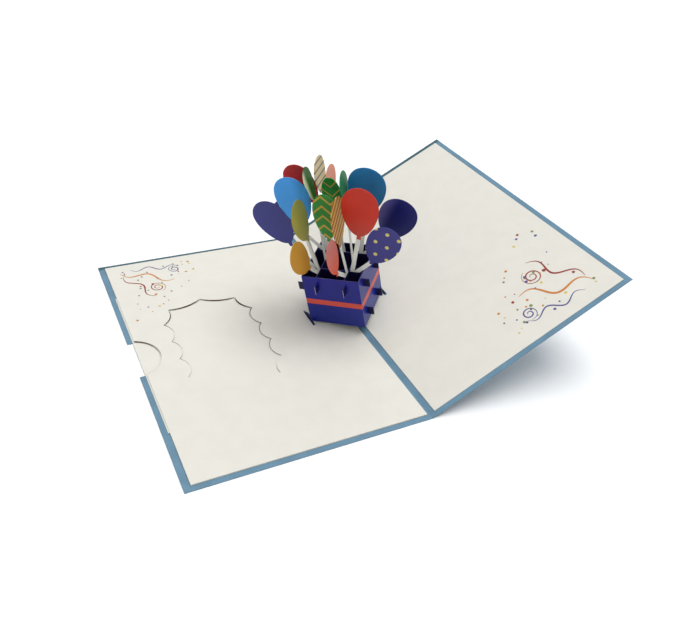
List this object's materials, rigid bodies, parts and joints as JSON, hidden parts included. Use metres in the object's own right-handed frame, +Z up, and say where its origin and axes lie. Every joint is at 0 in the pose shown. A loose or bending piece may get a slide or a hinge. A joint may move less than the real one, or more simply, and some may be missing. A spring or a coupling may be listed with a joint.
{
  "type": "pop-up greeting card",
  "caption": "Open pop-up greeting card: folded cover, white inner sheets, a pull-out note in a windowed pocket, and a slotted paper gift box of balloons standing over the fold.",
  "frame": {"origin": "middle of the open card's footprint on the table", "axes": "+X across the leaves towards the raised right leaf, +Y along the fold towards the back, +Z up"},
  "size_m": [0.2256, 0.18, 0.093],
  "materials": {
    "cover_card": "matte",
    "white_card": "matte",
    "note_paper": "matte",
    "box_card": "satin",
    "balloon_card": "satin"
  },
  "bodies": {
    "root": {"cover": "cover_card", "left_sheet": "white_card", "right_sheet": "white_card", "note_card": "note_paper", "box_front": "box_card", "box_rear": "box_card", "front_balloons": "balloon_card", "rear_balloons": "balloon_card", "left_balloons": "balloon_card", "right_balloons": "balloon_card"}
  },
  "joints": []
}
